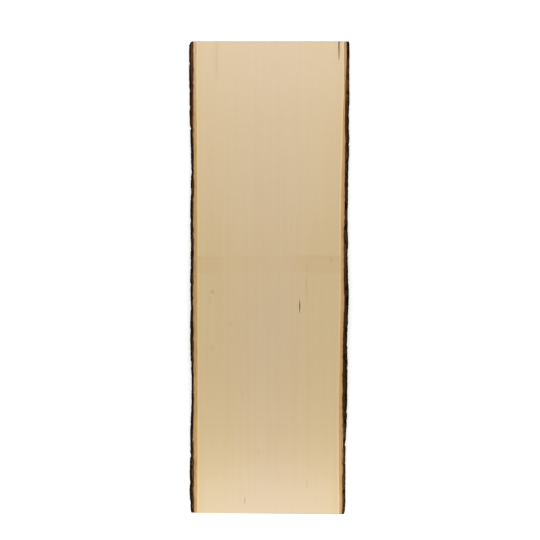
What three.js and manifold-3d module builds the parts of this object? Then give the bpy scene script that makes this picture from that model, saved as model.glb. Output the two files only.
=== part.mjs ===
// Basswood plank, sawn along the grain from a small log, with the bark left on both long edges.
// Millimetres. X runs across the plank, Y along the grain, and Z up, out of the face that shows.
// The plank lies on its back, and the origin is the middle of its bounding box at the underside.

import * as THREE from "three";
import { mergeVertices } from "three/addons/utils/BufferGeometryUtils.js";
import Module from "manifold-3d";

// Driving dimensions
const length = 584; // along the right edge, the longer one
const thickness = 19;
const endSkew = 1.9; // how much shorter the left edge is, because the near end is sawn out of square

// The rim lines: where the bark reaches furthest out, as [Y, X] points that the edge runs smoothly through.
const rimLeft = [
  [-292, -96.2], [-287, -97.2], [-280, -97.6], [-265, -98], [-235, -98.4], [-206, -97.6], [-161, -96.5],
  [-132, -96.1], [-87, -97.8], [-43, -97.2], [-13, -97.8], [31, -96.9], [90, -97.4], [135, -96.4],
  [157, -96.9], [179, -98], [224, -98.5], [268, -99.4], [280, -99.3], [287, -99.4], [290, -98],
  [292, -96.6],
];
const rimRight = [
  [-292, 92.5], [-287, 93.6], [-280, 93.8], [-250, 94.2], [-220, 94.1], [-191, 95], [-161, 96.1],
  [-117, 96.6], [-72, 96.6], [-43, 97.5], [-16, 98.2], [16, 97], [46, 97.3], [76, 96.9],
  [105, 96.9], [135, 97.8], [164, 99.1], [194, 98.7], [224, 99], [253, 99], [283, 99.4],
  [292, 98.5],
];

// Bark: its face leans out towards the underside, as the side of a round log does, and it is
// furrowed along the grain and cracked across into plates.
const lean = 2.1; // how far the top of the bark stands inside its foot
const bulge = 0.45; // roundness of the log over the plank's thickness
const arrisRound = 0.9; // how far the sawn corners of the bark are worn back
const arrisReach = 1.3;
const lumpHeight = 0.35;
const lumpPitch = 26;
const furrowCount = 2;
const furrowDepth = 1.9;
const furrowHalfWidth = 1.5;
const furrowSway = 2.6;
const furrowSwayPitch = 34;
const furrowFadePitch = 47;
const crackPitch = 27;
const crackDepth = 1.5;
const crackHalfWidth = 2.2;
const leftSeed = 3;
const rightSeed = 71;

// Splits that opened as the wood dried
const endCheck = { x: 86, length: 24, width: 1.5, depth: 5.5, drift: 0.1 }; // drift of its tip to the left
const faceCheck = { x: 37.45, y: -35.2, halfLength: 8.6, halfWidth: 0.75, depth: 1.4 };
const spare = 0.5; // how far a cutting shape stands out of the wood

// Mesh fineness
const stationCount = 162;
const rowCount = 11;

// A number from 0 to 1 that looks random and is the same for the same n.
function scatter(n) {
  const v = Math.sin(n * 12.9898) * 43758.5453;
  return v - Math.floor(v);
}

// A smooth wandering line from -1 to 1, with a new value at each whole t.
function wander(t, seed) {
  const i = Math.floor(t);
  const f = t - i;
  const from = scatter(i + seed);
  const to = scatter(i + 1 + seed);
  return 2 * (from + (to - from) * f * f * (3 - 2 * f)) - 1;
}

// The X of a smooth line through [Y, X] points, at y.
function lineThrough(points, y) {
  const last = points.length - 1;
  let i = points.findIndex((p) => p[0] > y) - 1;
  if (i < 0) i = y < points[0][0] ? 0 : last - 1;
  const slopeAt = (k) => {
    const a = points[Math.max(k - 1, 0)];
    const b = points[Math.min(k + 1, last)];
    return (b[1] - a[1]) / (b[0] - a[0]);
  };
  const [y0, x0] = points[i];
  const [y1, x1] = points[i + 1];
  const span = y1 - y0;
  const t = Math.min(Math.max((y - y0) / span, 0), 1);
  const t2 = t * t;
  const t3 = t2 * t;
  return (
    x0 * (2 * t3 - 3 * t2 + 1) +
    x1 * (3 * t2 - 2 * t3) +
    span * (slopeAt(i) * (t3 - 2 * t2 + t) + slopeAt(i + 1) * (t3 - t2))
  );
}

// The height of the middle of furrow k, which sways as it runs along the edge.
function furrowHeight(k, y, seed) {
  const even = (thickness * (k + 1)) / (furrowCount + 1);
  return even + furrowSway * wander(y / furrowSwayPitch, seed + 31 * k);
}

// How far the bark lies inside its rim line at y and z: lumps, furrows along and cracks across.
function barkRelief(y, z, seed) {
  let cut = 0;
  let row = 0;
  for (let k = 0; k < furrowCount; k++) {
    const off = z - furrowHeight(k, y, seed);
    if (off > 0) row = k + 1;
    const depth = furrowDepth * (0.5 + 0.5 * wander(y / furrowFadePitch, seed + 57 * k));
    cut = Math.max(cut, depth * Math.exp(-((off / furrowHalfWidth) ** 2)));
  }
  const t = y / crackPitch + 7 * scatter(row + seed);
  const cell = Math.floor(t);
  const middle = cell + 0.25 + 0.5 * scatter(cell + seed + 13 * row);
  const across = ((t - middle) * crackPitch) / crackHalfWidth;
  const open = scatter(cell + seed + 29 * row);
  cut = Math.max(cut, crackDepth * open * Math.exp(-(across ** 2)));
  const lump = lumpHeight * wander(y / lumpPitch + z / thickness, seed + 5);
  return cut - lump;
}

// The X of the bark's outer face. side is -1 on the left and 1 on the right.
function barkFace(y, z, side) {
  const rim = side < 0 ? rimLeft : rimRight;
  const seed = side < 0 ? leftSeed : rightSeed;
  const height = z / thickness;
  const inset =
    lean * height -
    bulge * 4 * height * (1 - height) +
    arrisRound * Math.exp(-(((thickness - z) / arrisReach) ** 2)) +
    arrisRound * Math.exp(-((z / arrisReach) ** 2)) +
    barkRelief(y, z, seed);
  return lineThrough(rim, y) - side * inset;
}

// Sections across the plank, each a closed loop: up the right bark, then down the left bark.
function plankSections() {
  const sections = [];
  const nearLeft = rimLeft[0][1];
  const nearRight = rimRight[0][1];
  for (let s = 0; s <= stationCount; s++) {
    const share = s / stationCount;
    const y = length * (share - 0.5);
    const loop = [];
    for (const side of [1, -1]) {
      for (let r = 0; r <= rowCount; r++) {
        const z = (thickness * (side > 0 ? r : rowCount - r)) / rowCount;
        const x = barkFace(y, z, side);
        const short = (endSkew * (nearRight - x)) / (nearRight - nearLeft);
        loop.push(new THREE.Vector3(x, y + short * (1 - share), z));
      }
    }
    sections.push(loop);
  }
  return sections;
}

// A closed mesh through the sections, with a flat cap on each end.
function loft(sections) {
  const ring = sections[0].length;
  const position = sections.flat().flatMap((p) => [p.x, p.y, p.z]);
  const index = [];
  for (let s = 0; s + 1 < sections.length; s++) {
    for (let i = 0; i < ring; i++) {
      const a = s * ring + i;
      const b = s * ring + ((i + 1) % ring);
      index.push(a, a + ring, b, b, a + ring, b + ring);
    }
  }
  const outline = sections[0].map((p) => new THREE.Vector2(p.x, p.z));
  const far = (sections.length - 1) * ring;
  for (const [a, b, c] of THREE.ShapeUtils.triangulateShape(outline, [])) index.push(a, b, c);
  const farOutline = sections.at(-1).map((p) => new THREE.Vector2(p.x, p.z));
  for (const [a, b, c] of THREE.ShapeUtils.triangulateShape(farOutline, [])) {
    index.push(far + a, far + c, far + b);
  }
  const geometry = new THREE.BufferGeometry();
  geometry.setAttribute("position", new THREE.Float32BufferAttribute(position, 3));
  geometry.setIndex(index);
  return geometry;
}

// The wedge of air in the split at the far end: widest at the end, closing to a point in the wood.
function endCheckWedge() {
  const { x, length: reach, width, depth, drift } = endCheck;
  const end = length / 2 + spare;
  const top = thickness + spare;
  const geometry = new THREE.BufferGeometry();
  const corners = [
    [x - width / 2, end, top],
    [x + width / 2, end, top],
    [x, end, thickness - depth],
    [x - drift, length / 2 - reach, top],
  ];
  geometry.setAttribute("position", new THREE.Float32BufferAttribute(corners.flat(), 3));
  geometry.setIndex([0, 2, 1, 0, 1, 3, 1, 2, 3, 2, 0, 3]);
  return geometry;
}

// The small split in the face: a slit with pointed ends.
function faceCheckSlit() {
  const { x, y, halfLength, halfWidth, depth } = faceCheck;
  const geometry = new THREE.OctahedronGeometry(1);
  geometry.scale(halfWidth, halfLength, depth);
  geometry.translate(x, y, thickness);
  return geometry;
}

const wasm = await Module();
wasm.setup();

function toSolid(geometry) {
  const bare = geometry.clone();
  bare.deleteAttribute("normal");
  bare.deleteAttribute("uv");
  const merged = mergeVertices(bare);
  const mesh = new wasm.Mesh({
    numProp: 3,
    vertProperties: new Float32Array(merged.attributes.position.array),
    triVerts: new Uint32Array(merged.index.array),
  });
  return new wasm.Manifold(mesh);
}

function toGeometry(solid) {
  const mesh = solid.getMesh();
  const geometry = new THREE.BufferGeometry();
  geometry.setAttribute("position", new THREE.Float32BufferAttribute(mesh.vertProperties, 3));
  geometry.setIndex(Array.from(mesh.triVerts));
  geometry.computeVertexNormals();
  return geometry;
}

let plankSolid = toSolid(loft(plankSections()));
for (const split of [endCheckWedge(), faceCheckSlit()]) {
  plankSolid = plankSolid.subtract(toSolid(split));
}

const plankGeometry = toGeometry(plankSolid);
plankGeometry.computeBoundingBox();
const middle = plankGeometry.boundingBox.getCenter(new THREE.Vector3());

const basswood = new THREE.MeshStandardMaterial({ color: 0xd8bf98, roughness: 0.72, metalness: 0 });
const plank = new THREE.Mesh(plankGeometry, basswood);
plank.name = "plank";
plank.position.set(-middle.x, -middle.y, 0);

const group = new THREE.Group();
group.add(plank);

export default group;
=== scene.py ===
import math

import bpy
import numpy as np
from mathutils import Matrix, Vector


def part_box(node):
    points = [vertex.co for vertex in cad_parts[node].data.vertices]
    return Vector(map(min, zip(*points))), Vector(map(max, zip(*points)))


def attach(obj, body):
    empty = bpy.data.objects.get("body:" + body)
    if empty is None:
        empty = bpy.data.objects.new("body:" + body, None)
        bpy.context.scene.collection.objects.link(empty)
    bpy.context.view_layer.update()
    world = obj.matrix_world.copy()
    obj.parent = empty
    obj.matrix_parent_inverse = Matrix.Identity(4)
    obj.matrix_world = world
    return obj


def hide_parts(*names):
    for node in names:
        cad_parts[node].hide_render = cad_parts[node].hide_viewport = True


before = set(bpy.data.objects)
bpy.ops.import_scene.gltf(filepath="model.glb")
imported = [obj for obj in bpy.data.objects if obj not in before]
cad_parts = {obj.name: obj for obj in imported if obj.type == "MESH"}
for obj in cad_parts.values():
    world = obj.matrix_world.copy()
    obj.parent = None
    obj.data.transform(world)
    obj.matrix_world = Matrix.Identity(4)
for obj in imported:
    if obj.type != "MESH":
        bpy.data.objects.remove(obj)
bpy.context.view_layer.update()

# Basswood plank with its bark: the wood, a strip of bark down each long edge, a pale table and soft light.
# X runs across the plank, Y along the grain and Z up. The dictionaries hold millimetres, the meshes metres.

mm = 0.001
low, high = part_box("plank")
plankLength = round((high.y - low.y) / mm)
halfLength = plankLength / 2
thickness = (high.z - low.z) / mm


# Noise and lines, as whole arrays

def ramp(value, start, stop):
    # The share of the way from start to stop, kept from 0 to 1.
    return np.clip((value - start) / (stop - start), 0, 1)


def bell(t):
    # e to the power of minus t squared: 1 at 0, falling away on both sides.
    return np.exp(-(t**2))


def scatter(n):
    # The part after the point of 43758.5453 sin(12.9898 n): from 0 to 1, and the same for the same n.
    v = np.sin(n * 12.9898) * 43758.5453
    return v - np.floor(v)


def wander(t, seed):
    # A line from -1 to 1 with a new scattered value at each whole t and a smooth step between them.
    i = np.floor(t)
    f = t - i
    start = scatter(i + seed)
    stop = scatter(i + 1 + seed)
    return 2 * (start + (stop - start) * f * f * (3 - 2 * f)) - 1


def cloud(s, t, seed):
    # The same over a plane: scattered values at whole s and t, smooth steps along both.
    i = np.floor(s)
    j = np.floor(t)
    f = (s - i) ** 2 * (3 - 2 * (s - i))
    g = (t - j) ** 2 * (3 - 2 * (t - j))

    def corner(di, dj):
        return scatter((i + di) * 3.17 + (j + dj) * 57.31 + seed)

    near = corner(0, 0) + (corner(1, 0) - corner(0, 0)) * f
    far = corner(0, 1) + (corner(1, 1) - corner(0, 1)) * f
    return 2 * (near + (far - near) * g) - 1


def clouds(layers, y, z, seed):
    # The sum of clouds, each times its reach. A layer is [reach, length of its blotches, their height].
    total = np.zeros(y.shape)
    for k, (reach, length, height) in enumerate(layers):
        total = total + reach * cloud(y / length, z / height, seed + 2 * k)
    return total


def fading(layer, y, z, seed):
    # 1 at most: 1 less the layer's reach, plus its cloud.
    return 1 - layer[0] + clouds([layer], y, z, seed)


def scales(s, t, seed):
    # One point stands somewhere in each unit square of the plane. Gives how much nearer the nearest point
    # is than the next one, which is 0 on the border between two scales, and the nearest point's own number.
    i = np.floor(s)
    j = np.floor(t)
    first = np.full(s.shape, 9.0)
    second = np.full(s.shape, 9.0)
    own = np.zeros(s.shape)
    for di in (-1, 0, 1):
        for dj in (-1, 0, 1):
            number = (i + di) * 7.13 + (j + dj) * 31.7 + seed
            away = np.hypot(s - i - di - scatter(number), t - j - dj - scatter(number + 0.37))
            nearer = away < first
            second = np.where(nearer, first, np.minimum(second, away))
            own = np.where(nearer, scatter(number + 0.71), own)
            first = np.where(nearer, away, first)
    return second - first, own


def lineThrough(points, y):
    # A cubic through [Y, value] points, whose slope at each is that of the line between its two neighbours.
    at, value = np.array(points, float).T
    slope = np.empty(len(at))
    slope[1:-1] = (value[2:] - value[:-2]) / (at[2:] - at[:-2])
    slope[0] = (value[1] - value[0]) / (at[1] - at[0])
    slope[-1] = (value[-1] - value[-2]) / (at[-1] - at[-2])
    i = np.clip(np.searchsorted(at, y, side="right") - 1, 0, len(at) - 2)
    span = at[i + 1] - at[i]
    t = np.clip((y - at[i]) / span, 0, 1)
    return (
        value[i] * (2 * t**3 - 3 * t**2 + 1)
        + value[i + 1] * (3 * t**2 - 2 * t**3)
        + span * (slope[i] * (t**3 - 2 * t**2 + t) + slope[i + 1] * (t**3 - t**2))
    )


def gridLines(start, stop, gap, closer=()):
    # Even places from start to stop, with closer ones for each (middle, reach, gap) in the list.
    spare = 0.02  # no line stands nearer to an end than this
    places = np.linspace(start, stop, round((stop - start) / gap) + 1)
    for middle, reach, fine in closer:
        places = places[np.abs(places - middle) > reach + fine / 2]
        places = np.append(places, middle + np.arange(-reach, reach + fine / 2, fine))
    places = places[(places > start + spare) & (places < stop - spare)]
    return np.unique(np.round(np.concatenate([[start, stop], places]), 3))


# Meshes

def block(name, acrossLines, alongLines, upLines, place, turned=False, plainWall=False):
    # A closed box of six grids that share their edges. place turns the grid numbers of all its points into
    # three coordinates in millimetres and a dictionary of what the material wants to know at each point.
    # A plain wall at the first line across, which stands inside the wood, is only as fine as its edges.
    across, along, up = np.meshgrid(acrossLines, alongLines, upLines, indexing="ij")
    shell = np.ones(across.shape, bool)
    shell[1:-1, 1:-1, 1:-1] = False
    if plainWall:
        shell[0, 1:-1, 1:-1] = False
    number = np.full(across.shape, -1, np.int32)
    number[shell] = np.arange(shell.sum())
    points, known = place(across[shell], along[shell], up[shell])
    quads = []
    ends = []  # of the plain wall: two many-sided faces that take in every point of its short edges
    for axis in range(3):
        for side in (0, -1):
            grid = np.take(number, side, axis=axis)
            forward = ((side == -1) != (axis == 1)) != turned
            if plainWall and axis == 0 and side == 0:
                last = len(grid[0]) - 1
                ends.append(np.concatenate([grid[0], grid[1, ::-last]]))
                ends.append(np.concatenate([grid[-2, ::last], grid[-1, ::-1]]))
                ends = [end[::-1] if forward else end for end in ends]
                grid = grid[1:-1, ::last]
            corners = np.stack([grid[:-1, :-1], grid[1:, :-1], grid[1:, 1:], grid[:-1, 1:]], axis=-1)
            corners = corners.reshape(-1, 4)
            quads.append(corners if forward else corners[:, ::-1])
    quads = np.concatenate(quads)
    loops = np.concatenate([quads.ravel(), *ends])
    sizes = np.concatenate([np.full(len(quads), 4), [len(end) for end in ends]]).astype(np.int32)
    mesh = bpy.data.meshes.new(name)
    mesh.vertices.add(len(points))
    mesh.vertices.foreach_set("co", (points * mm).astype(np.float32).ravel())
    mesh.loops.add(len(loops))
    mesh.loops.foreach_set("vertex_index", loops.astype(np.int32))
    mesh.polygons.add(len(sizes))
    mesh.polygons.foreach_set("loop_start", (np.cumsum(sizes) - sizes).astype(np.int32))
    mesh.update(calc_edges=True)
    for key, values in known.items():
        mesh.attributes.new(key, "FLOAT", "POINT").data.foreach_set("value", values.astype(np.float32))
    mesh.shade_smooth()
    mesh.set_sharp_from_angle(angle=math.radians(40))
    piece = bpy.data.objects.new(name, mesh)
    bpy.context.scene.collection.objects.link(piece)
    return piece


# Board: the outlines that wood and bark share

board = {
    # where the bark reaches furthest out, as [Y, X] points
    "rimLeft": [
        [-292, -96.2], [-287, -97.2], [-280, -97.6], [-265, -98], [-235, -98.4], [-206, -97.6],
        [-161, -96.5], [-132, -96.1], [-87, -97.8], [-43, -97.2], [-13, -97.8], [31, -96.9], [90, -97.4],
        [135, -96.4], [157, -96.9], [179, -98], [224, -98.5], [268, -99.4], [280, -99.3], [287, -99.4],
        [290, -98], [292, -96.6],
    ],
    "rimRight": [
        [-292, 92.5], [-287, 93.6], [-280, 93.8], [-250, 94.2], [-220, 94.1], [-191, 95], [-161, 96.1],
        [-117, 96.6], [-72, 96.6], [-43, 97.5], [-16, 98.2], [16, 97], [46, 97.3], [76, 96.9],
        [105, 96.9], [135, 97.8], [164, 99.1], [194, 98.7], [224, 99], [253, 99], [283, 99.4],
        [292, 98.5],
    ],
    # where wood meets bark in the top face, as [Y, X] points
    "edgeLeft": [
        [-292, -89.0], [-275, -89.05], [-213, -88.8], [-102, -88.75], [-28, -88.9], [83, -88.9],
        [157, -89.35], [231, -90.0], [292, -89.9],
    ],
    "edgeRight": [
        [-292, 86.3], [-275, 86.3], [-213, 85.9], [-176, 85.8], [-139, 86.0], [-102, 86.8], [-65, 87.2],
        [-28, 88.0], [19, 88.1], [83, 88.3], [120, 89.0], [157, 90.2], [194, 90.7], [231, 92.1],
        [292, 92.2],
    ],
    "lean": 2.1,  # how far the top of the bark stands inside its foot
    "bulge": 0.45,  # roundness of the log over the plank's thickness
    "endSkew": 1.9,  # how much shorter the left edge is, because the near end is sawn out of square
}
farLeft = board["edgeLeft"][-1][1]
farRight = board["edgeRight"][-1][1]


def bySide(values, name, side):
    # side is -1 on the left and 1 on the right.
    return values[name + ("Left" if side < 0 else "Right")]


def spread(z):
    # How far the side of the log stands outside its line in the top face: the lean times the share of the
    # way down, and 4 times the bulge times the shares of the way down and up.
    height = z / thickness
    return board["lean"] * (1 - height) + board["bulge"] * 4 * height * (1 - height)


def woodEdge(y, z, side):
    # Where wood meets bark: the line in the top face, spread out below it.
    return lineThrough(bySide(board, "edge", side), y) + side * spread(z)


def placed(x, y, z):
    # Every point moves up the grain by its share of the skew, which is all of it at the near left corner.
    # X then counts from the middle of the solid's box.
    nearLeft = board["rimLeft"][0][1]
    nearRight = board["rimRight"][0][1]
    short = board["endSkew"] * (nearRight - x) / (nearRight - nearLeft)
    return np.stack([x - middleX, y + short * (0.5 - y / plankLength), z], axis=-1)


# Bark

bark = {
    # how thick the tan inner bark is before the dark outer bark starts, as [Y, thickness] points
    "innerLeft": [
        [-292, 3.7], [-279, 4.1], [-264, 4.5], [-247, 4.1], [-232, 4.2], [-205, 5.6], [-175, 5.2],
        [-161, 4.5], [-146, 5.1], [-116, 4.9], [-101, 5.0], [-87, 4.3], [-70, 5.1], [-27, 5.5], [2, 5.3],
        [25, 4.6], [50, 4.8], [76, 5.7], [91, 4.7], [106, 3.7], [122, 4.2], [137, 4.35], [150, 3.9],
        [165, 4.5], [182, 4.85], [195, 4.55], [210, 4.05], [292, 4.3],
    ],
    "innerRight": [
        [-292, 3.6], [-264, 4.0], [-249, 3.8], [-235, 4.7], [-220, 4.5], [-205, 5.5], [-185, 4.8],
        [-146, 4.6], [-131, 4.75], [-116, 4.2], [-95, 3.7], [-65, 4.4], [-27, 4.7], [2, 3.8], [25, 4.15],
        [50, 3.85], [83, 4.6], [120, 4.2], [137, 3.85], [165, 3.5], [180, 3.35], [195, 2.6], [224, 2.0],
        [239, 1.9], [254, 2.2], [268, 3.3], [280, 3.1], [292, 2.95],
    ],
    "seedLeft": 3,  # another number gives another bark
    "seedRight": 71,
    "arrisRound": 0.9,  # how far the sawn corners are worn back
    "arrisReach": 1.3,
    "lumpHeight": 0.35,  # slow lumps
    "lumpPitch": 26,
    "furrowCount": 2,  # furrows along the grain, which sway and fade
    "furrowDepth": 1.9,
    "furrowHalfWidth": 1.5,
    "furrowSway": 2.6,
    "furrowSwayPitch": 34,
    "furrowFadePitch": 47,
    "crackPitch": 27,  # cracks across the grain
    "crackDepth": 1.5,
    "crackHalfWidth": 2.2,
    "fissureLength": 24,  # narrow fissures that fork and meet, and leave long pointed ridges
    "fissureApart": 3.4,
    "fissureDepth": 0.85,
    "fissureWidth": 0.15,
    "crazeLength": 9,  # finer ones on the ridges
    "crazeApart": 1.9,
    "crazeDepth": 0.4,
    "crazeWidth": 0.16,
    # noise that bends them along the grain and up, as [reach, length of its blotches, their height]
    "bendAlong": [[3.0, 9, 4], [0.7, 2.3, 1.2]],
    "bendUp": [[1.3, 13, 5], [0.35, 2.9, 1.7]],
    # and noise that fades them
    "fissureFade": [0.4, 17, 6],
    "crazeFade": [0.5, 6, 3],
    "scaleLength": 10,  # thin scales that lift off the ridges
    "scaleHeight": 2.4,
    "scaleStep": 0.42,
    "scaleLip": 0.12,  # how soon a scale has risen from its border
    "strandLength": 8,  # fibres along the grain
    "strandApart": 0.9,
    "strandDepth": 0.16,
    "gritDepth": 0.13,
    "gritCoarse": [1, 2.1, 1.3],
    "gritFine": [0.6, 1.1, 0.7],
    "proud": 0.3,  # how far the plates stand out of the plain bark
    "crisp": 0.55,  # how much less the sawn top corner is worn than the plain bark's
    "chipDepth": 0.8,  # bites out of that corner
    "chipPitch": 9,
    "chipRarity": 0.35,
    "chipReach": 1.2,  # how far down a faint bite reaches
    "chipReachMore": 1.5,  # and how much further a full one does
    "shadeInFissure": 0.95,  # how much painted shade each form gets
    "shadeInCraze": 0.75,
    "shadeUnderScale": 0.45,
    "shallow": -0.6,  # cuts from which and to which the painted shade grows ever darker
    "deepest": 2.0,
    "bury": 0.05,  # how far the bark's inner wall stands inside the wood
    "thinnest": 0.6,  # how thin a furrow may leave the bark
    "wholeFrom": 12,  # a furrow leaves the inner bark ever more whole from this height
    "wholeTo": 16,
    "sunk": 0.05,  # how far the sawn face lies below the wood's
    "sunkMore": 0.09,
    "sunkLength": 5,
    "sunkWidth": 0.5,
    "footGap": 0.04,  # how far the underside lies above the wood's
    "endRough": 0.06,  # how far the ends lie inside the wood's
    "endRoughMore": 0.12,
    "endRoughPitch": 0.8,
    "lines": [0, 0.15, 0.31, 0.47, 0.62, 0.75, 0.86, 0.94, 1],  # of the mesh, from the wood to the face
    "gap": 0.46,  # of the mesh, along the grain
    "upGap": 0.34,
    "atTop": [0.9, 0.3],  # closer lines there, as [reach, gap]
}


def furrowHeight(k, y, seed):
    # Furrows stand at even heights and sway up and down along the edge.
    even = thickness * (k + 1) / (bark["furrowCount"] + 1)
    return even + bark["furrowSway"] * wander(y / bark["furrowSwayPitch"], seed + 31 * k)


def barkRelief(y, z, seed):
    # How far the bark lies inside its rim: the deepest of bell-shaped furrows along the grain, which fade in
    # and out, and bell-shaped cracks across it, less a slow lump.
    cut = np.zeros(y.shape)
    row = np.zeros(y.shape)
    for k in range(bark["furrowCount"]):
        off = z - furrowHeight(k, y, seed)
        row = np.where(off > 0, k + 1, row)
        depth = bark["furrowDepth"] * (0.5 + 0.5 * wander(y / bark["furrowFadePitch"], seed + 57 * k))
        cut = np.maximum(cut, depth * bell(off / bark["furrowHalfWidth"]))
    t = y / bark["crackPitch"] + 7 * scatter(row + seed)
    cell = np.floor(t)
    middle = cell + 0.25 + 0.5 * scatter(cell + seed + 13 * row)
    across = (t - middle) * bark["crackPitch"] / bark["crackHalfWidth"]
    opening = scatter(cell + seed + 29 * row)
    cut = np.maximum(cut, bark["crackDepth"] * opening * bell(across))
    return cut - bark["lumpHeight"] * wander(y / bark["lumpPitch"] + z / thickness, seed + 5)


def barkBase(y, z, side):
    # The rim line, drawn in by what the log hasn't spread yet, the two worn corners and the relief.
    corners = bell((thickness - z) / bark["arrisReach"]) + bell(z / bark["arrisReach"])
    relief = barkRelief(y, z, bySide(bark, "seed", side))
    inset = board["lean"] - spread(z) + bark["arrisRound"] * corners + relief
    return lineThrough(bySide(board, "rim", side), y) - side * inset


def barkDetail(y, z, side):
    # Fissures run where long drawn-out noise crosses zero, broad ones and a finer craze between them. Thin
    # scales, fibres, grit and bites out of the top corner are added. Gives the cut, how much painted shade
    # each point gets in the fissures, the craze, the bites and under the scales, and how deep it lies in
    # all.
    seed = bySide(bark, "seed", side)
    fromTop = thickness - z
    bendY = y + clouds(bark["bendAlong"], y, z, seed + 61)
    bendZ = z + clouds(bark["bendUp"], y, z, seed + 67)
    fissure = cloud(bendY / bark["fissureLength"], bendZ / bark["fissureApart"], seed + 8)
    fissure = bell(fissure / bark["fissureWidth"]) * fading(bark["fissureFade"], y, z, seed + 9)
    craze = cloud(bendY / bark["crazeLength"], bendZ / bark["crazeApart"], seed + 31)
    craze = bell(craze / bark["crazeWidth"]) * fading(bark["crazeFade"], y, z, seed + 33)
    apart, own = scales(bendY / bark["scaleLength"], bendZ / bark["scaleHeight"], seed + 0.5)
    lifted = ramp(apart, 0, bark["scaleLip"])
    strand = cloud(y / bark["strandLength"], bendZ / bark["strandApart"], seed + 51)
    grit = clouds([bark["gritCoarse"]], y, z, seed + 15) + clouds([bark["gritFine"]], y, z, seed + 19)
    chip = ramp(wander(y / bark["chipPitch"], seed + 41), bark["chipRarity"], 1)
    chipReach = bark["chipReach"] + bark["chipReachMore"] * chip
    bite = bark["chipDepth"] * chip * bell(fromTop / chipReach)
    cut = (
        bark["fissureDepth"] * fissure
        + bark["crazeDepth"] * craze
        + bark["scaleStep"] * (0.5 - own * lifted)
        + bark["strandDepth"] * strand
        + bark["gritDepth"] * grit
        + bite
        - bark["proud"]
        - bark["crisp"] * bell(fromTop / bark["arrisReach"])
    )
    # painted shade in the fissures, the craze and the bites, and under the scales
    crack = (
        bark["shadeInFissure"] * fissure
        + bark["shadeInCraze"] * craze
        + bark["shadeUnderScale"] * (1 - lifted)
        + bite
    )
    deep = ramp(cut + barkRelief(y, z, seed), bark["shallow"], bark["deepest"])
    return cut, np.clip(crack, 0, 1), deep


def placeBark(across, along, up, side):
    # Points run from the wood out to the bark's face, which stays outside the inner bark near the sawn top.
    # The sawn faces lie a hair inside the wood's: evenly beside it, and unevenly from a millimetre away.
    inner = woodEdge(along, up, side) - side * bark["bury"]
    cut, crack, deep = barkDetail(along, up, side)
    outer = barkBase(along, up, side) - side * cut
    outer = np.clip(outer, low.x / mm + middleX, high.x / mm + middleX)
    innerDepth = lineThrough(bySide(bark, "inner", side), along)
    whole = ramp(up, bark["wholeFrom"], bark["wholeTo"])
    least = bark["thinnest"] + whole * (innerDepth - bark["thinnest"])
    outer = inner + side * np.maximum(side * (outer - inner), least)
    x = inner + (outer - inner) * across
    fromWood = np.abs(x - inner)
    away = ramp(fromWood, 0, 1)
    seed = 5 + side
    uneven = 1 + cloud(along / bark["sunkLength"], fromWood / bark["sunkWidth"], seed + 2)
    sunk = bark["sunk"] + bark["sunkMore"] * away * uneven
    z = up - sunk * (up == up.max()) + bark["footGap"] * (up == up.min())
    uneven = 1 + cloud(x / bark["endRoughPitch"], z / bark["endRoughPitch"], seed + 4)
    rough = bark["endRough"] + bark["endRoughMore"] * away * uneven
    y = along + rough * (along == along.min()) - rough * (along == along.max())
    known = {
        "layer": fromWood / innerDepth,
        "fromWood": fromWood,
        "fromSkin": np.abs(outer - x),
        "crack": crack,
        "deep": deep,
    }
    return placed(x, y, z), known


# The solid's own stations and rows, which say how far it was moved to centre it
stationCount = 163
rowCount = 12
stations, rows = np.meshgrid(
    np.linspace(-halfLength, halfLength, stationCount), np.linspace(0, thickness, rowCount), indexing="ij"
)
middleX = (barkBase(stations, rows, -1).min() + barkBase(stations, rows, 1).max()) / 2


def makeBark(name, side):
    alongLines = gridLines(-halfLength, halfLength, bark["gap"])
    upLines = gridLines(0, thickness, bark["upGap"], [(thickness, *bark["atTop"])])

    def place(across, along, up):
        return placeBark(across, along, up, side)

    return block(name, np.array(bark["lines"]), alongLines, upLines, place, turned=side < 0, plainWall=True)


# Wood

wood = {
    # the split at the far end, from its mouth to a tip that drifts to the left
    "endSplit": {
        "x": 86.0, "drift": 0.1, "sway": 0.12, "swayPitch": 4.3, "length": 24, "width": 1.25, "depth": 5.5,
        # powers of the share of the way left to the tip: small ones keep the split wide and deep
        "narrowing": 0.4, "rise": 0.6,
        "floor": 0.375,  # share of the width that lies at the full depth
    },
    # the small split in the face
    "faceSplit": {
        "x": 37.45, "y": -35.2, "sway": 0.2, "swayPitch": 4.6, "halfLength": 8.6, "halfWidth": 0.75,
        "depth": 1.4,
    },
    "wear": 0.18,  # how far the sawn corners are rubbed down
    "wearReach": 0.35,
    # small tears in the far top corner, as [X, half width, length]
    "tears": [
        [-58, 1.2, 1.0], [-40, 2.2, 1.5], [-27, 1.4, 0.9], [-10, 1.6, 1.2], [13, 2.2, 1.6], [29, 1.5, 1.1],
    ],
    "tearDepth": 0.5,
    "tearShade": 0.2,  # how much painted shade they get beside a split
    "shadeDepth": 0.5,  # how deep a split has to be for its full painted shade
    "still": 50,  # lines of the mesh run straight out to here, and then ever more like the edges
    "gap": 4.0,  # of the mesh, across and along
    "upGap": 3.2,
    # closer lines, as [reach, gap]
    "atEdges": [1.2, 0.3],
    "atTears": 0.4,  # a gap alone, because a tear's half width is the reach
    "acrossEndSplit": [1.2, 0.12],
    "alongEndSplit": [14, 0.7],
    "acrossFaceSplit": [1.1, 0.1],
    "alongFaceSplit": [9.0, 0.5],
    "atFarEnd": [1.6, 0.1],
    "atNearEnd": [1.0, 0.1],
    "atTop": [0.9, 0.15],
    "atFoot": [0.3, 0.15],
}


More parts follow.
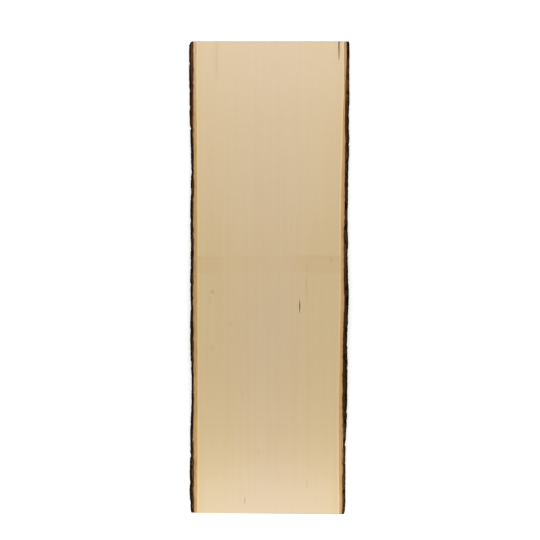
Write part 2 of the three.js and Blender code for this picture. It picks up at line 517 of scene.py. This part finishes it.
def splitDepth(x, y):
    # Both splits are deepest by their middle line and level with the face at their sides. The width and the
    # depth of the end split are powers of the share of the way left to its tip, and those of the face split
    # the root of the share left to its nearer tip, which makes it a long lens.
    tiny = 1e-6  # keeps a width of nothing from dividing
    end = wood["endSplit"]
    left = ramp(y, halfLength - end["length"], halfLength)
    middle = end["x"] - end["drift"] * (1 - left) + end["sway"] * wander(y / end["swayPitch"], 12)
    across = np.abs(x - middle) / (end["width"] / 2 * left ** end["narrowing"] + tiny)
    atEnd = end["depth"] * left ** end["rise"] * ramp(across, 1, end["floor"])
    face = wood["faceSplit"]
    left = ramp(np.abs(y - face["y"]), face["halfLength"], 0)
    middle = face["x"] + face["sway"] * wander(y / face["swayPitch"], 5)
    across = np.abs(x - middle) / (face["halfWidth"] * left**0.5 + tiny)
    atFace = face["depth"] * left**0.5 * ramp(across, 1, 0)
    return np.maximum(atEnd, atFace)


def placeWood(across, along, up):
    # Points run from edge to edge. Those near an edge move with it, so that lines close to a split stay
    # straight. The face is then lowered by the splits, the tears and the rubbed corners.
    leftEdge = woodEdge(along, up, -1)
    rightEdge = woodEdge(along, up, 1)
    leftShare = ramp(-across, wood["still"], -farLeft)
    rightShare = ramp(across, wood["still"], farRight)
    x = across + leftShare * (leftEdge - farLeft) + rightShare * (rightEdge - farRight)
    fromFar = halfLength - along
    fromNear = halfLength + along
    worn = wood["wear"] * (bell(fromFar / wood["wearReach"]) + bell(fromNear / wood["wearReach"]))
    torn = np.zeros(x.shape)
    for middle, halfWidth, length in wood["tears"]:
        bite = np.clip(1 - ((x - middle) / halfWidth) ** 2, 0, 1) * ramp(fromFar, length, 0)
        torn = np.maximum(torn, wood["tearDepth"] * bite)
    split = splitDepth(x, along)
    height = up / thickness
    z = height * (thickness - worn - torn - split) + worn * (1 - height)
    # painted shade down in the splits and tears, darker the deeper they are
    dark = ramp(split, 0, wood["shadeDepth"]) + wood["tearShade"] * ramp(torn, 0, wood["shadeDepth"])
    known = {
        "endGrain": ((along == along.min()) | (along == along.max())).astype(float),
        "inSplit": dark * (up == up.max()),
        "toBark": np.minimum(x - leftEdge, rightEdge - x),
    }
    return placed(x, along, z), known


def makeWood():
    # The lines are closer by the edges, the splits, the tears and the ends.
    acrossLines = gridLines(farLeft, farRight, wood["gap"], [
        (farLeft, *wood["atEdges"]),
        (farRight, *wood["atEdges"]),
        (wood["endSplit"]["x"], *wood["acrossEndSplit"]),
        (wood["faceSplit"]["x"], *wood["acrossFaceSplit"]),
        *[(tear[0], tear[1], wood["atTears"]) for tear in wood["tears"]],
    ])
    alongLines = gridLines(-halfLength, halfLength, wood["gap"], [
        (halfLength - wood["alongEndSplit"][0], *wood["alongEndSplit"]),
        (halfLength, *wood["atFarEnd"]),
        (-halfLength, *wood["atNearEnd"]),
        (wood["faceSplit"]["y"], *wood["alongFaceSplit"]),
    ])
    closer = [(thickness, *wood["atTop"]), (0, *wood["atFoot"])]
    upLines = gridLines(0, thickness, wood["upGap"], closer)
    return block("plank_wood", acrossLines, alongLines, upLines, placeWood)


# Shader maths

class Wire:
    # One output of a node. Sums on wires add Math nodes to the same material.

    def __init__(self, paint, socket):
        self.paint = paint
        self.socket = socket

    def __add__(self, other):
        return self.paint.maths("ADD", self, other)

    def __sub__(self, other):
        return self.paint.maths("SUBTRACT", self, other)

    def __rsub__(self, other):
        return self.paint.maths("SUBTRACT", other, self)

    def __mul__(self, other):
        return self.paint.maths("MULTIPLY", self, other)

    def __truediv__(self, other):
        return self.paint.maths("DIVIDE", self, other)

    def __pow__(self, other):
        return self.paint.maths("POWER", self, other)

    def __abs__(self):
        return self.paint.maths("ABSOLUTE", self)

    __radd__ = __add__
    __rmul__ = __mul__


class Paint:
    # A material and its nodes.

    def __init__(self, name):
        self.material = bpy.data.materials.new(name)
        self.material.use_nodes = True
        self.tree = self.material.node_tree
        self.shader = self.tree.nodes["Principled BSDF"]

    def feed(self, socket, value):
        if isinstance(value, Wire):
            self.tree.links.new(value.socket, socket)
        elif isinstance(value, tuple) and len(value) == 3 and socket.type == "RGBA":
            socket.default_value = (*value, 1)
        else:
            socket.default_value = value

    def node(self, kind, settings=None, inputs=None, output=0):
        node = self.tree.nodes.new(kind)
        for key, value in (settings or {}).items():
            if key == "stops":
                elements = node.color_ramp.elements
                for stop in value[1:-1]:
                    elements.new(stop[0])
                for element, (place, shade) in zip(elements, value):
                    element.position = place
                    element.color = (*shade, 1)
            else:
                setattr(node, key, value)
        for key, value in (inputs or {}).items():
            self.feed(node.inputs[key], value)
        return Wire(self, node.outputs[output])

    def maths(self, operation, *values):
        return self.node("ShaderNodeMath", {"operation": operation}, dict(enumerate(values)))

    def vectors(self, operation, *values):
        return self.node("ShaderNodeVectorMath", {"operation": operation}, dict(enumerate(values)))

    def colours(self, amount, first, second, way="MIX"):
        # Goes from the first colour to the second as amount goes from 0 to 1.
        settings = {"data_type": "RGBA", "blend_type": way}
        return self.node("ShaderNodeMix", settings, {0: amount, 6: first, 7: second}, output=2)

    def step(self, value, start, stop):
        # 0 up to start, 1 from stop on, and smooth between them. It falls if stop is below start.
        inputs = {"Value": value, "From Min": start, "From Max": stop}
        return self.node("ShaderNodeMapRange", {"interpolation_type": "SMOOTHSTEP"}, inputs)

    def whereabouts(self):
        # The place on the piece as a vector in metres, and its X, Y and Z in millimetres.
        place = self.node("ShaderNodeTexCoord", {}, output="Object")
        x, y, z = (self.node("ShaderNodeSeparateXYZ", {}, {0: place}, axis) for axis in range(3))
        return place, x * (1 / mm), y * (1 / mm), z * (1 / mm)

    def scaled(self, place, stretch):
        return self.vectors("MULTIPLY", place, tuple(1 / (s * mm) for s in stretch))

    def grain(self, place, stretch, detail=2.0, roughness=0.5, warp=0.0, output=0):
        # Noise from about 0 to 1 whose blotches are stretch millimetres long in X, Y and Z.
        inputs = {"Vector": self.scaled(place, stretch), "Scale": 1.0, "Detail": detail}
        inputs = {**inputs, "Roughness": roughness, "Distortion": warp}
        return self.node("ShaderNodeTexNoise", {}, inputs, output)

    def bent(self, place, stretch, reach):
        # The same places pushed about reach millimetres aside by noise, so that what they carry wanders.
        push = self.vectors("SUBTRACT", self.grain(place, stretch, output=1), (0.5, 0.5, 0.5))
        return self.vectors("MULTIPLY_ADD", push, (4 * reach * mm,) * 3, place)

    def plates(self, place, stretch):
        # Cells about stretch millimetres long: how far each point is from a seam, and its cell's own number.
        inputs = {"Vector": self.scaled(place, stretch), "Scale": 1.0}
        seam = self.node("ShaderNodeTexVoronoi", {"feature": "DISTANCE_TO_EDGE"}, inputs)
        colour = self.node("ShaderNodeTexVoronoi", {"feature": "F1"}, inputs, output=1)
        return seam, self.node("ShaderNodeSeparateColor", {}, {0: colour})

    def known(self, name):
        return self.node("ShaderNodeAttribute", {"attribute_name": name}, output=2)

    def finish(self, colour, roughness, bump, height, gloss):
        self.shader.inputs["Specular IOR Level"].default_value = gloss
        self.feed(self.shader.inputs["Base Color"], colour)
        self.feed(self.shader.inputs["Roughness"], roughness)
        normal = self.node("ShaderNodeBump", {}, {"Strength": 1.0, "Distance": height * mm, "Height": bump})
        self.feed(self.shader.inputs["Normal"], normal)
        return self.material


woodLook = {
    "heartX": 4.0,  # the heart of the log runs below the plank
    "heartZ": -9.0,
    "heartSway": 17.0,
    "taper": 0.00012,  # the log grows thicker towards the far end
    "ringWidth": 2.6,
    "ringWaver": 2.2,
    "lateInFace": 0.055,  # how much a ring's dark line shows
    "lateInEnd": 0.44,  # and how much more in the end grain
    "paleInFace": 0.05,
    "paleInEnd": 0.25,
    "pink": (0.592, 0.443, 0.277),  # the wood along the middle
    "yellow": (0.590, 0.446, 0.246),  # and towards the bark
    "peach": (0.690, 0.480, 0.246),  # a line beside the bark
    "late": (0.520, 0.375, 0.210),
    "pale": (0.660, 0.530, 0.350),
    "pore": (0.455, 0.310, 0.165),
    "endShade": (0.74, 0.66, 0.58),  # the end grain is this much darker
    "stain": (0.558, 0.364, 0.188),
    "stainFrom": 5,
    "stainTo": 29,
    "stainSoft": 4,
    "stainWobble": 9,
    "stainBand": 0.31,  # how strongly it shows, and its darker line
    "stainLine": 0.12,
    "stainMiddle": 0.32,  # the share of it that is left along the plank's middle
    "brown": (0.330, 0.185, 0.080),
    # painted shade in the splits and tears
    "shadeInSplit": (0.170, 0.085, 0.014),
    # the paler, greyer wood of the painted sheen
    "sheenColour": (0.640, 0.520, 0.395),
    # where painted sheen makes the wood paler, as [Y where it starts, Y where it is full, strength]
    "sheen": [[30, 130, 0.11], [150, 300, 0.22], [-190, -292, 0.42]],
    "arris": (0.470, 0.395, 0.330),  # a greyer line where the ends are sawn
    "arrisWidth": 1.9,
    # small brown marks in the face, as [X, Y, half width, half length, strength]
    "marks": [
        [86.0, 284.0, 1.7, 12.0, 0.24], [-64.8, 271.8, 1.0, 21.0, 0.14], [-65.0, 271.0, 5.0, 26.0, 0.06],
        [76.3, 21.7, 1.3, 3.0, 0.18], [45.8, 11.5, 1.2, 4.5, 0.09], [45.5, -9.5, 1.6, 11.0, 0.15],
        [-70.1, -16.9, 2.6, 3.0, 0.25], [-73.0, -27.6, 1.8, 4.5, 0.09],
        [-47.9, -57.2, 1.5, 4.0, 0.11], [-47.9, -76.1, 1.4, 4.0, 0.11], [-70.5, -86.0, 2.6, 3.6, 0.08],
        [-32.8, -145.0, 2.0, 13.0, 0.06], [-13.4, -214.0, 1.8, 4.5, 0.08], [46.2, -254.6, 0.9, 5.2, 0.18],
        [-30.3, -274.3, 0.7, 5.4, 0.45],
    ],
    # how long in X, Y and Z the blotches of noise are
    "fibreSize": (0.5, 26, 0.5),
    "broadSize": (6.5, 260, 6.5),
    "poreSize": (0.22, 3.2, 0.22),
    "fleckSize": (2.6, 0.7, 0.7),
    # how strongly these show
    "fibreShows": 0.11,
    "broadShows": 0.12,
    "poreShows": 0.16,
    "fleckShows": 0.10,
    "rayShows": 0.35,
    "peachShows": 0.9,
    "arrisShows": 0.75,
    "shadeInSplitShows": 0.9,
    "bump": 0.05,
    "gloss": 0.3,
}


def growthRings(paint, place, x, y, z):
    # Shells round a heart that wanders along the log, by noise that is the same all across. Gives how far
    # each point is in a ring's dark line, in the pale wood after it and in the rays out from the heart.
    look = woodLook
    swayX = paint.grain(place, (9e5, 250, 9e5), detail=1.0) - 0.5
    swayZ = paint.grain(place, (7e5, 310, 9e5), detail=1.0) - 0.5
    fromHeartX = x - look["heartX"] + swayX * look["heartSway"]
    fromHeartZ = z - look["heartZ"] + swayZ * look["heartSway"]
    radius = (fromHeartX * fromHeartX + fromHeartZ * fromHeartZ) ** 0.5
    waver = (paint.grain(place, (30, 160, 30)) - 0.5) * look["ringWaver"]
    radius = radius * (1 - y * look["taper"]) + waver
    inputs = {"W": radius, "Scale": 0.11, "Detail": 1.0}
    uneven = paint.node("ShaderNodeTexNoise", {"noise_dimensions": "1D"}, inputs)
    share = paint.maths("FRACT", radius / look["ringWidth"] + uneven * 3.0)
    late = paint.step(share, 0.25, 0.93) * paint.step(share, 1.0, 0.95)
    pale = paint.step(share, 0.93, 0.97) * paint.step(share, 1.0, 0.98) + paint.step(share, 0.08, 0.0)
    turn = paint.maths("ARCTAN2", fromHeartZ, fromHeartX)
    outwards = paint.node("ShaderNodeCombineXYZ", {}, {0: turn * 55, 1: radius * 0.05})
    inputs = {"Vector": outwards, "Scale": 1.0}
    rays = paint.node("ShaderNodeTexNoise", {"noise_dimensions": "2D"}, inputs)
    return late, pale, rays


def stainShare(paint, place, x, y):
    # A wobbly band across the plank, where a batten lay while the board dried. It has a darker line at its
    # far side and is fainter along the plank's middle.
    look = woodLook
    start, stop, soft = look["stainFrom"], look["stainTo"], look["stainSoft"]
    wobbly = y + (paint.grain(place, (40, 40, 40)) - 0.5) * look["stainWobble"]
    band = paint.step(wobbly, start, start + soft) * paint.step(wobbly, stop, stop - soft)
    line = paint.step(wobbly, stop - soft - 3, stop - soft) * paint.step(wobbly, stop, stop - 3)
    sides = paint.step(abs(x + 10), 34, 62)
    across = sides * (1 - look["stainMiddle"]) + look["stainMiddle"]
    return (band * look["stainBand"] + line * look["stainLine"]) * across


def woodFinish():
    look = woodLook
    paint = Paint("basswood")
    place, x, y, z = paint.whereabouts()
    top = paint.step(z, 17.5, 18.4)
    endGrain = paint.known("endGrain")
    toBark = paint.known("toBark")
    late, pale, rays = growthRings(paint, place, x, y, z)

    # fibres along the grain, fine and broad, the short dark lines of the pores, and the rays, which show as
    # flecks near the edges of the face
    fine = paint.grain(place, look["fibreSize"], detail=3.0, roughness=0.6)
    broad = paint.grain(place, look["broadSize"], detail=2.0)
    pores = paint.step(paint.grain(place, look["poreSize"], detail=1.0), 0.60, 0.72)
    flecks = paint.step(paint.grain(place, look["fleckSize"], detail=1.0), 0.56, 0.70)
    flecks = flecks * paint.step(abs(x), 45, 80)

    tone = paint.colours(paint.step(toBark, 8, 75), look["yellow"], look["pink"])
    tone = paint.colours(paint.step(y, 30, 110) * 0.5, tone, look["pink"])
    tone = paint.colours(paint.step(broad, 0.35, 0.65) * look["broadShows"], tone, look["pale"])
    tone = paint.colours(late * (look["lateInFace"] + endGrain * look["lateInEnd"]), tone, look["late"])
    tone = paint.colours(pale * (look["paleInFace"] + endGrain * look["paleInEnd"]), tone, look["pale"])
    tone = paint.colours(paint.step(fine, 0.35, 0.75) * look["fibreShows"], tone, look["late"])
    tone = paint.colours(pores * look["poreShows"], tone, look["pore"])
    tone = paint.colours(flecks * look["fleckShows"], tone, look["late"])
    tone = paint.colours(paint.step(rays, 0.5, 0.7) * endGrain * look["rayShows"], tone, look["pale"])
    tone = paint.colours(paint.step(toBark, 2.9, 1.5) * look["peachShows"], tone, look["peach"])
    tone = paint.colours(stainShare(paint, place, x, y) * top, tone, look["stain"])

    # painted sheen: the wood paler and greyer towards both ends, as under the lamps' glare
    sheen = sum(paint.step(y, start, stop) * strength for start, stop, strength in look["sheen"])
    tone = paint.colours(sheen * (paint.step(toBark, 2, 14) * 0.55 + 0.45), tone, look["sheenColour"])

    # small marks, each an ellipse with a soft and uneven edge
    markX = x + (paint.grain(place, (2.5, 7, 2.5), detail=2.0) - 0.5) * 2.6
    markY = y + (paint.grain(place, (3, 3, 3), detail=1.0) - 0.5) * 5
    for centreX, centreY, halfWidth, halfLong, strength in look["marks"]:
        off = ((markX - centreX) / halfWidth) ** 2 + ((markY - centreY) / halfLong) ** 2
        tone = paint.colours(paint.step(off, 2.2, 0.0) * top * strength, tone, look["brown"])

    # the end grain is darker, and the worn line round each sawn end greyer
    fromEnd = halfLength - abs(y) + (paint.grain(place, (2.5, 2.5, 2.5), detail=3.0) - 0.5) * 1.6
    rubbed = paint.step(fromEnd, look["arrisWidth"], 0.5) * (1 - endGrain) * paint.step(z, 0.5, 2)
    tone = paint.colours(rubbed * look["arrisShows"], tone, look["arris"])
    tone = paint.colours(endGrain, tone, paint.colours(1.0, tone, look["endShade"], "MULTIPLY"))
    # painted shade down in the splits and tears
    tone = paint.colours(paint.known("inSplit") * look["shadeInSplitShows"], tone, look["shadeInSplit"])

    saw = paint.grain(place, (50, 50, 0.7), detail=2.0, warp=0.4)
    lift = fine * 0.5 + pores * -0.5 + (saw * 2.0 + rays) * endGrain
    rough = 0.52 + (fine - 0.5) * 0.2 + endGrain * 0.25
    return paint.finish(tone, rough, lift, look["bump"], look["gloss"])


barkLook = {
    "cambium": (0.555, 0.350, 0.155),
    "inner": (0.525, 0.322, 0.137),
    "innerOuter": (0.485, 0.300, 0.142),
    "light": (0.640, 0.440, 0.230),
    "faded": (0.600, 0.410, 0.260),  # the inner bark at the far end, on the left
    "dull": (0.250, 0.190, 0.130),  # and on the right
    "brown": (0.275, 0.140, 0.052),
    "rust": (0.140, 0.060, 0.021),
    "cork": (0.050, 0.020, 0.006),  # the outer bark where it is sawn through
    "skin": (0.012, 0.006, 0.003),
    "ridge": (0.052, 0.031, 0.018),
    "grey": (0.084, 0.063, 0.045),
    "red": (0.052, 0.024, 0.010),
    # near black painted shade, in the cracks, seams and hollows and towards the foot
    "shadeBlack": (0.004, 0.0022, 0.0014),
    # the sawn bark from the wood outwards, as [place, colour]: the inner bark ends at 0.93
    "layers": [
        [0.0, "cambium"], [0.22, "cambium"], [0.40, "inner"], [0.77, "innerOuter"], [0.87, "brown"],
        [0.91, "rust"], [0.96, "cork"],
    ],
    # stretches of the bark, as [Y where it starts, Y where it is full]
    "fadedStretch": [195, 265],
    "dullStretch": [238, 252],
    "brownStretch": [-170, -195],  # of the right bark, at the near end
    # and as [middle Y, reach, reach at full strength]
    "brownPlace": [245, 32, 16],  # of the right bark, at the far end
    "darkPlace": [-75, 105, 75],  # of the right bark, between them
    # how long in X, Y and Z the blotches of noise are: on the sawn faces
    "rippleSize": (4, 30, 4),
    "fibreSize": (0.35, 14, 0.35),
    "streakSize": (1.1, 24, 1.1),
    # and on the outer face
    "mottleSize": (2.2, 9, 2.2),
    "strandSize": (0.5, 8, 0.5),
    "gritSize": (0.6, 0.9, 0.6),
    "patchSize": (8, 19, 8),
    "plateSize": (3.2, 18, 3.2),
    "flakeSize": (1.1, 5.0, 1.1),
    # how strongly these show on the sawn faces
    "fadedShows": 0.95,
    "fadedLessOnRight": 0.8,
    "dullShows": 0.32,
    "layersShow": 0.35,
    "fibresShow": 0.25,
    "lightStreaksShow": 0.5,
    "darkStreaksShow": 0.35,
    "bump": 0.8,
    "gloss": 0.0,
}


def sawnBark(paint, place, y, onRight, browner, dark):
    # Fine layers of bast side by side, tan by the wood and darker outwards, with fibres and streaks that
    # show less in the dark stretch. Gives the colour.
    look = barkLook
    layer = paint.known("layer")
    ripple = (paint.grain(place, look["rippleSize"], detail=3.0) - 0.5) * 0.9
    edge = (paint.grain(place, (9, 9, 9), detail=2.0) - 0.5) * 0.5
    depth = layer + ripple * 0.35 + edge
    stops = [(share, look[shade]) for share, shade in look["layers"]]
    sawn = paint.node("ShaderNodeValToRGB", {"stops": stops}, {0: depth * 0.93})
    innerOnly = paint.step(depth, 0.9, 0.7)
    fadedShows = look["fadedShows"] - onRight * look["fadedLessOnRight"]
    faded = paint.step(y, *look["fadedStretch"]) * fadedShows
    sawn = paint.colours(faded * innerOnly, sawn, look["faded"])
    dull = paint.step(y, *look["dullStretch"]) * onRight * look["dullShows"]
    sawn = paint.colours(dull * innerOnly, sawn, look["dull"])
    sawn = paint.colours(browner * paint.step(depth, 0.9, 1.05), sawn, look["rust"])

    plain = 1 - dark * 0.8
    inputs = {"W": paint.known("fromWood") + ripple, "Scale": 2.6, "Detail": 2.0}
    layers = paint.node("ShaderNodeTexNoise", {"noise_dimensions": "1D"}, inputs)
    fibre = paint.grain(place, look["fibreSize"], detail=3.0)
    streak = paint.grain(place, look["streakSize"], detail=2.0)
    lighter = paint.step(streak, 0.42, 0.3) * paint.step(layer, 1.0, 0.8)
    sawn = paint.colours(paint.step(layers, 0.45, 0.7) * plain * look["layersShow"], sawn, look["rust"])
    sawn = paint.colours(paint.step(fibre, 0.5, 0.8) * plain * look["fibresShow"], sawn, look["rust"])
    sawn = paint.colours(lighter * look["lightStreaksShow"], sawn, look["light"])
    darker = paint.step(streak, 0.56, 0.7) * plain
    return paint.colours(darker * look["darkStreaksShow"], sawn, look["rust"])


def outerBark(paint, place, z, onRight, browner):
    # Long plates of bark, each with a brown or grey of its own, small flakes on them, red where a flake has
    # come off, and near black painted shade in the cracks, seams and hollows and towards the foot. Gives the
    # colour, the mottle, and how far the fine noise and the plates stand out.
    look = barkLook
    crack = paint.known("crack")
    deep = paint.known("deep")
    mottle = paint.grain(place, look["mottleSize"], detail=4.0, roughness=0.65)
    strands = paint.grain(place, look["strandSize"], detail=3.0, roughness=0.65)
    grit = paint.grain(place, look["gritSize"], detail=2.0, roughness=0.6)
    patch = paint.grain(place, look["patchSize"], detail=2.0)
    bent = paint.bent(paint.bent(place, (7, 12, 7), 1.6), (1.6, 2.6, 1.6), 0.35)
    seam, plate = paint.plates(bent, look["plateSize"])
    flakeSeam, flake = paint.plates(bent, look["flakeSize"])
    gritty = (grit - 0.5) * 0.3
    # ridges lighter and hollows darker the deeper they lie: painted shade, over each plate's and flake's own
    # tone
    shade = plate * 0.45 + flake * 0.3 + mottle * 0.9 + (0.5 - deep) * 0.5
    face = paint.colours(paint.step(shade, 0.55, 0.95), look["skin"], look["ridge"])
    face = paint.colours(paint.step(patch, 0.5, 0.64) * 0.6, face, look["red"])
    face = paint.colours(paint.step(patch, 0.46, 0.34) * 0.5, face, look["skin"])
    weathered = paint.step(plate * 0.6 + flake * 0.25 + mottle * 0.7, 0.78, 0.9)
    face = paint.colours(weathered * paint.step(deep, 0.62, 0.4) * 0.8, face, look["grey"])
    # painted shade: the face darker towards its foot, by the table
    face = paint.colours(paint.step(z, 12, 1) * 0.6, face, look["shadeBlack"])
    rubbed = browner * paint.step(z + (mottle - 0.5) * 9, 10, 16) * paint.step(deep, 0.6, 0.4)
    face = paint.colours(rubbed * 0.75, face, look["rust"])
    face = paint.colours(paint.step(flake, 0.8, 0.86) * 0.5, face, look["red"])
    face = paint.colours(paint.step(strands, 0.5, 0.62) * 0.55, face, look["skin"])
    outline = paint.step(flakeSeam, 0.10, 0.02) * paint.step(mottle, 0.4, 0.6)
    face = paint.colours(outline * 0.5, face, look["skin"])
    # painted shade, near black, in the seams between the plates, the deep hollows and the cracks
    face = paint.colours(paint.step(seam, 0.09, 0.03) * 0.8, face, look["shadeBlack"])
    face = paint.colours(paint.step(deep + gritty, 0.6, 1.0) * 0.6, face, look["shadeBlack"])
    face = paint.colours(paint.step(crack + gritty, 0.25, 0.7), face, look["shadeBlack"])
    blacker = paint.step(z, 3, 9) * (1 - onRight)
    face = paint.colours(blacker * 0.6, face, look["skin"])
    fineLift = strands * 0.5 + mottle * 0.4 + grit * 0.35
    plateLift = paint.step(seam, 0.0, 0.12) * 0.6 + paint.step(flakeSeam, 0.0, 0.15) * 0.25 + flake * 0.35
    return face, mottle, fineLift, plateLift


def barkFinish():
    look = barkLook
    paint = Paint("bark")
    place, x, y, z = paint.whereabouts()
    onRight = paint.step(x, -5, 5)

    # the outer bark is browner in patches, and on the right by both ends, with a dark stretch between them
    middle, reach, full = look["darkPlace"]
    dark = paint.step(abs(y - middle), reach, full) * onRight
    patches = paint.step(paint.grain(place, (30, 45, 30), detail=1.0), 0.5, 0.62) * (1 - dark)
    middle, reach, full = look["brownPlace"]
    byEnds = paint.step(abs(y - middle), reach, full) + paint.step(y, *look["brownStretch"])
    browner = paint.maths("MAXIMUM", patches * 0.5, byEnds * onRight)

    sawn = sawnBark(paint, place, y, onRight, browner, dark)
    face, mottle, fineLift, plateLift = outerBark(paint, place, z, onRight, browner)
    skin = paint.step(paint.known("fromSkin") + (mottle - 0.5) * 0.6, 0.45, 0.12)
    tone = paint.colours(skin, sawn, face)
    rough = 0.82 - paint.step(paint.known("layer"), 0.9, 0.6) * 0.1
    return paint.finish(tone, rough, fineLift + plateLift * skin, look["bump"], look["gloss"])


plankWood = makeWood()
barkLeft = makeBark("bark_left", -1)
barkRight = makeBark("bark_right", 1)
print("plank:", len(plankWood.data.polygons), "faces of wood,", len(barkLeft.data.polygons), "on each bark")

woodMaterial = woodFinish()
barkMaterial = barkFinish()
for piece, material, slot in (
    (plankWood, woodMaterial, "basswood"),
    (barkLeft, barkMaterial, "bark"),
    (barkRight, barkMaterial, "bark"),
):
    piece.data.materials.append(material)
    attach(piece, "root")
    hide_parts("plank")
print("finishes: basswood and bark")


# Table

table = {"halfSize": 6000, "drop": 0.1, "white": (0.92, 0.92, 0.92), "roughness": 0.9, "glow": 0.38}


def makeTable():
    half = table["halfSize"] * mm
    z = -table["drop"] * mm
    corners = [(-half, -half, z), (half, -half, z), (half, half, z), (-half, half, z)]
    mesh = bpy.data.meshes.new("table")
    mesh.from_pydata(corners, [], [(0, 1, 2, 3)])
    top = bpy.data.objects.new("table", mesh)
    bpy.context.scene.collection.objects.link(top)
    paint = Paint("white table")
    paint.feed(paint.shader.inputs["Base Color"], table["white"])
    paint.feed(paint.shader.inputs["Roughness"], table["roughness"])
    paint.feed(paint.shader.inputs["Emission Color"], table["white"])
    paint.feed(paint.shader.inputs["Emission Strength"], table["glow"])
    mesh.materials.append(paint.material)
    return top


makeTable()
print("table: white, under the plank")


# Light

sky = {"colour": (1.0, 0.995, 0.95), "strength": 0.79}
lampColour = (0.95, 0.98, 1.0)
lamps = {
    "far end": {"y": 500, "z": 560, "across": 900, "deep": 300, "watts": 2.37},
    "near end": {"y": -320, "z": 160, "across": 700, "deep": 100, "watts": 0.35},
}


def makeLight():
    world = bpy.data.worlds.new("soft room")
    world.use_nodes = True
    background = world.node_tree.nodes["Background"]
    background.inputs["Color"].default_value = (*sky["colour"], 1)
    background.inputs["Strength"].default_value = sky["strength"]
    bpy.context.scene.world = world
    for name, lamp in lamps.items():
        light = bpy.data.lights.new(name, "AREA")
        light.shape = "RECTANGLE"
        light.size = lamp["across"] * mm
        light.size_y = lamp["deep"] * mm
        light.energy = lamp["watts"]
        light.color = lampColour
        holder = bpy.data.objects.new(name, light)
        holder.location = (0, lamp["y"] * mm, lamp["z"] * mm)
        holder.visible_camera = False
        bpy.context.scene.collection.objects.link(holder)


makeLight()
print("light: soft room and", len(lamps), "lamps")


# Camera: straight above, with a long lens

camera = {"x": 0.8, "y": 9.62, "frameWidth": 666.1, "lens": 500, "sensor": 36, "seesTo": 20000}


def makeCamera():
    data = bpy.data.cameras.new("camera")
    data.lens = camera["lens"]
    data.sensor_width = camera["sensor"]
    data.clip_end = camera["seesTo"] * mm
    distance = camera["frameWidth"] * camera["lens"] / camera["sensor"]
    holder = bpy.data.objects.new("camera", data)
    holder.location = ((camera["x"] - middleX) * mm, camera["y"] * mm, (thickness + distance) * mm)
    bpy.context.scene.collection.objects.link(holder)
    bpy.context.scene.camera = holder


makeCamera()
bpy.context.scene.view_settings.view_transform = "Standard"
print("camera: above the plank")
